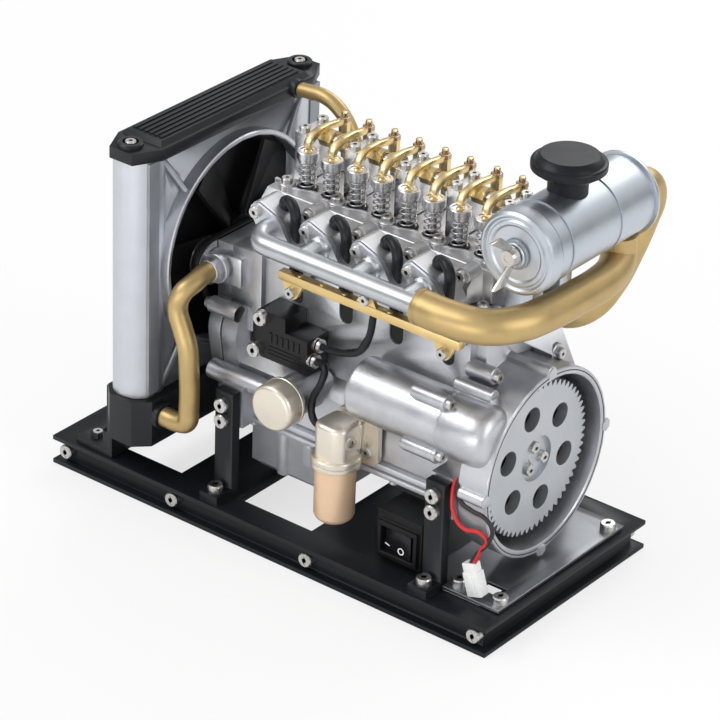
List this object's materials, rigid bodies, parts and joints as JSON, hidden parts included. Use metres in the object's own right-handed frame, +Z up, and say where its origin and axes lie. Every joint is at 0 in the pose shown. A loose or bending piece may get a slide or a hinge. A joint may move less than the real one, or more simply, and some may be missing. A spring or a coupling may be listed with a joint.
{
  "type": "engine model",
  "caption": "Tabletop model of an in-line overhead-valve water-cooled engine with radiator, fan, flywheel, exposed rockers and air cleaner on an open base frame.",
  "frame": {"origin": "middle of the footprint, on the plane the base frame stands on", "axes": "+X along the crankshaft from the radiator towards the flywheel, +Y from the inlet side to the rear, +Z up"},
  "size_m": [0.2032, 0.1108, 0.1702],
  "materials": {
    "black_aluminium": "black anodised, satin",
    "grey_plate": "brushed",
    "black_plastic": "moulded, satin",
    "black_gloss": "moulded, glossy",
    "satin_aluminium": "satin, drawn",
    "grey_shroud": "metallic grey, satin",
    "black_rubber": "moulded",
    "cast_aluminium": "cast, lightly polished",
    "bright_steel": "turned, bright",
    "grey_flywheel": "machined, satin",
    "gold_paint": "gold, satin",
    "satin_brass": "satin",
    "silver_can": "polished",
    "nickel": "nickel plated",
    "pale_gold": "pale gold, satin",
    "black_paint": "black, satin",
    "piston_alloy": "turned",
    "white_nylon": "moulded"
  },
  "bodies": {
    "engine": {"base_frame": "black_aluminium", "deck_plate": "grey_plate", "switch_body": "black_plastic", "radiator_core": "satin_aluminium", "radiator_top_tank": "black_aluminium", "radiator_bottom_tank": "black_aluminium", "fan_shroud": "grey_shroud", "fan_belt": "black_rubber", "engine_block": "cast_aluminium", "cylinder_head": "cast_aluminium", "oil_pan": "cast_aluminium", "front_cover": "cast_aluminium", "rocker_shaft": "bright_steel", "intake_manifold": "bright_steel", "intake_pipe": "gold_paint", "air_pipe": "gold_paint", "upper_hose": "gold_paint", "lower_hose": "gold_paint", "air_cleaner": "silver_can", "fuel_rail": "satin_brass", "injection_pump": "black_paint", "oil_filter": "pale_gold", "fuel_filter": "pale_gold", "motor_lead": "white_nylon", "valve_spring_1": "bright_steel", "valve_spring_2": "bright_steel", "valve_spring_3": "bright_steel", "valve_spring_4": "bright_steel", "valve_spring_5": "bright_steel", "valve_spring_6": "bright_steel", "valve_spring_7": "bright_steel", "valve_spring_8": "bright_steel"},
    "crank": {"crankshaft": "bright_steel", "flywheel": "grey_flywheel"},
    "fan_wheel": {"fan": "black_plastic"},
    "pump_wheel": {"pump_pulley": "bright_steel"},
    "cam": {"camshaft": "bright_steel"},
    "starter_pinion": {"motor_pinion": "bright_steel"},
    "switch_key": {"switch_rocker": "black_gloss"},
    "wing": {"wing_nut": "nickel"},
    "rocker_arm_1": {"rocker_1": "satin_brass"},
    "valve_body_1": {"valve_1": "bright_steel"},
    "rocker_arm_2": {"rocker_2": "satin_brass"},
    "valve_body_2": {"valve_2": "bright_steel"},
    "rocker_arm_3": {"rocker_3": "satin_brass"},
    "valve_body_3": {"valve_3": "bright_steel"},
    "rocker_arm_4": {"rocker_4": "satin_brass"},
    "valve_body_4": {"valve_4": "bright_steel"},
    "rocker_arm_5": {"rocker_5": "satin_brass"},
    "valve_body_5": {"valve_5": "bright_steel"},
    "rocker_arm_6": {"rocker_6": "satin_brass"},
    "valve_body_6": {"valve_6": "bright_steel"},
    "rocker_arm_7": {"rocker_7": "satin_brass"},
    "valve_body_7": {"valve_7": "bright_steel"},
    "rocker_arm_8": {"rocker_8": "satin_brass"},
    "valve_body_8": {"valve_8": "bright_steel"},
    "piston_body_1": {"piston_1": "piston_alloy"},
    "piston_body_2": {"piston_2": "piston_alloy"},
    "piston_body_3": {"piston_3": "piston_alloy"},
    "piston_body_4": {"piston_4": "piston_alloy"}
  },
  "joints": [
    {"name": "crank_spin", "type": "hinge", "parent": "engine", "child": "crank", "pos_m": [-0.04965, -0.00273, 0.052], "axis": [1, 0, 0], "continuous": true},
    {"name": "fan_spin", "type": "hinge", "parent": "engine", "child": "fan_wheel", "pos_m": [-0.0577, -0.00273, 0.092], "axis": [1, 0, 0], "continuous": true},
    {"name": "pump_spin", "type": "hinge", "parent": "engine", "child": "pump_wheel", "pos_m": [-0.04965, -0.02373, 0.092], "axis": [1, 0, 0], "continuous": true},
    {"name": "cam_spin", "type": "hinge", "parent": "engine", "child": "cam", "pos_m": [-0.04475, 0.01277, 0.068], "axis": [1, 0, 0], "continuous": true},
    {"name": "pinion_spin", "type": "hinge", "parent": "engine", "child": "starter_pinion", "pos_m": [0.07775, -0.02973, 0.0713], "axis": [1, 0, 0], "continuous": true},
    {"name": "rocker_1_hinge", "type": "hinge", "parent": "engine", "child": "rocker_arm_1", "pos_m": [-0.01975, 0.00327, 0.1408], "axis": [1, 0, 0], "range_deg": [0, 6.87], "stiffness_Nm_per_rad": 0.05, "springref_deg": -5.73},
    {"name": "valve_1_slide", "type": "slide", "parent": "engine", "child": "valve_body_1", "axis": [0, 0, -1], "range_m": [0, 0.0012], "deforming": ["valve_spring_1"]},
    {"name": "rocker_2_hinge", "type": "hinge", "parent": "engine", "child": "rocker_arm_2", "pos_m": [-0.00895, 0.00327, 0.1408], "axis": [1, 0, 0], "range_deg": [0, 6.87], "stiffness_Nm_per_rad": 0.05, "springref_deg": -5.73},
    {"name": "valve_2_slide", "type": "slide", "parent": "engine", "child": "valve_body_2", "axis": [0, 0, -1], "range_m": [0, 0.0012], "deforming": ["valve_spring_2"]},
    {"name": "rocker_3_hinge", "type": "hinge", "parent": "engine", "child": "rocker_arm_3", "pos_m": [0.00255, 0.00327, 0.1408], "axis": [1, 0, 0], "range_deg": [0, 6.87], "stiffness_Nm_per_rad": 0.05, "springref_deg": -5.73},
    {"name": "valve_3_slide", "type": "slide", "parent": "engine", "child": "valve_body_3", "axis": [0, 0, -1], "range_m": [0, 0.0012], "deforming": ["valve_spring_3"]},
    {"name": "rocker_4_hinge", "type": "hinge", "parent": "engine", "child": "rocker_arm_4", "pos_m": [0.01335, 0.00327, 0.1408], "axis": [1, 0, 0], "range_deg": [0, 6.87], "stiffness_Nm_per_rad": 0.05, "springref_deg": -5.73},
    {"name": "valve_4_slide", "type": "slide", "parent": "engine", "child": "valve_body_4", "axis": [0, 0, -1], "range_m": [0, 0.0012], "deforming": ["valve_spring_4"]},
    {"name": "rocker_5_hinge", "type": "hinge", "parent": "engine", "child": "rocker_arm_5", "pos_m": [0.02485, 0.00327, 0.1408], "axis": [1, 0, 0], "range_deg": [0, 6.87], "stiffness_Nm_per_rad": 0.05, "springref_deg": -5.73},
    {"name": "valve_5_slide", "type": "slide", "parent": "engine", "child": "valve_body_5", "axis": [0, 0, -1], "range_m": [0, 0.0012], "deforming": ["valve_spring_5"]},
    {"name": "rocker_6_hinge", "type": "hinge", "parent": "engine", "child": "rocker_arm_6", "pos_m": [0.03565, 0.00327, 0.1408], "axis": [1, 0, 0], "range_deg": [0, 6.87], "stiffness_Nm_per_rad": 0.05, "springref_deg": -5.73},
    {"name": "valve_6_slide", "type": "slide", "parent": "engine", "child": "valve_body_6", "axis": [0, 0, -1], "range_m": [0, 0.0012], "deforming": ["valve_spring_6"]},
    {"name": "rocker_7_hinge", "type": "hinge", "parent": "engine", "child": "rocker_arm_7", "pos_m": [0.04715, 0.00327, 0.1408], "axis": [1, 0, 0], "range_deg": [0, 6.87], "stiffness_Nm_per_rad": 0.05, "springref_deg": -5.73},
    {"name": "valve_7_slide", "type": "slide", "parent": "engine", "child": "valve_body_7", "axis": [0, 0, -1], "range_m": [0, 0.0012], "deforming": ["valve_spring_7"]},
    {"name": "rocker_8_hinge", "type": "hinge", "parent": "engine", "child": "rocker_arm_8", "pos_m": [0.05795, 0.00327, 0.1408], "axis": [1, 0, 0], "range_deg": [0, 6.87], "stiffness_Nm_per_rad": 0.05, "springref_deg": -5.73},
    {"name": "valve_8_slide", "type": "slide", "parent": "engine", "child": "valve_body_8", "axis": [0, 0, -1], "range_m": [0, 0.0012], "deforming": ["valve_spring_8"]},
    {"name": "piston_1_slide", "type": "slide", "parent": "engine", "child": "piston_body_1", "axis": [0, 0, 1], "range_m": [-0.014, 0]},
    {"name": "piston_2_slide", "type": "slide", "parent": "engine", "child": "piston_body_2", "axis": [0, 0, 1], "range_m": [0, 0.014]},
    {"name": "piston_3_slide", "type": "slide", "parent": "engine", "child": "piston_body_3", "axis": [0, 0, 1], "range_m": [0, 0.014]},
    {"name": "piston_4_slide", "type": "slide", "parent": "engine", "child": "piston_body_4", "axis": [0, 0, 1], "range_m": [-0.014, 0]},
    {"name": "switch_key_hinge", "type": "hinge", "parent": "engine", "child": "switch_key", "pos_m": [0.05005, -0.03713, 0.02065], "axis": [0, 0, 1], "range_deg": [0, 16]},
    {"name": "wing_nut_turn", "type": "hinge", "parent": "engine", "child": "wing", "pos_m": [0.08635, -0.03053, 0.1434], "axis": [0, 1, 0], "continuous": true}
  ],
  "couplings": [
    {"joint": "fan_spin", "follows": "crank_spin", "ratio": 1.1039},
    {"joint": "pump_spin", "follows": "crank_spin", "ratio": 1.1039},
    {"joint": "cam_spin", "follows": "crank_spin", "ratio": -0.5},
    {"joint": "pinion_spin", "follows": "crank_spin", "ratio": -7.5},
    {"joint": "valve_1_slide", "follows": "rocker_1_hinge", "m_per_rad": 0.01},
    {"joint": "valve_2_slide", "follows": "rocker_2_hinge", "m_per_rad": 0.01},
    {"joint": "valve_3_slide", "follows": "rocker_3_hinge", "m_per_rad": 0.01},
    {"joint": "valve_4_slide", "follows": "rocker_4_hinge", "m_per_rad": 0.01},
    {"joint": "valve_5_slide", "follows": "rocker_5_hinge", "m_per_rad": 0.01},
    {"joint": "valve_6_slide", "follows": "rocker_6_hinge", "m_per_rad": 0.01},
    {"joint": "valve_7_slide", "follows": "rocker_7_hinge", "m_per_rad": 0.01},
    {"joint": "valve_8_slide", "follows": "rocker_8_hinge", "m_per_rad": 0.01},
    {"joint": "piston_2_slide", "follows": "piston_1_slide", "ratio": -1},
    {"joint": "piston_3_slide", "follows": "piston_1_slide", "ratio": -1},
    {"joint": "piston_4_slide", "follows": "piston_1_slide", "ratio": 1}
  ]
}
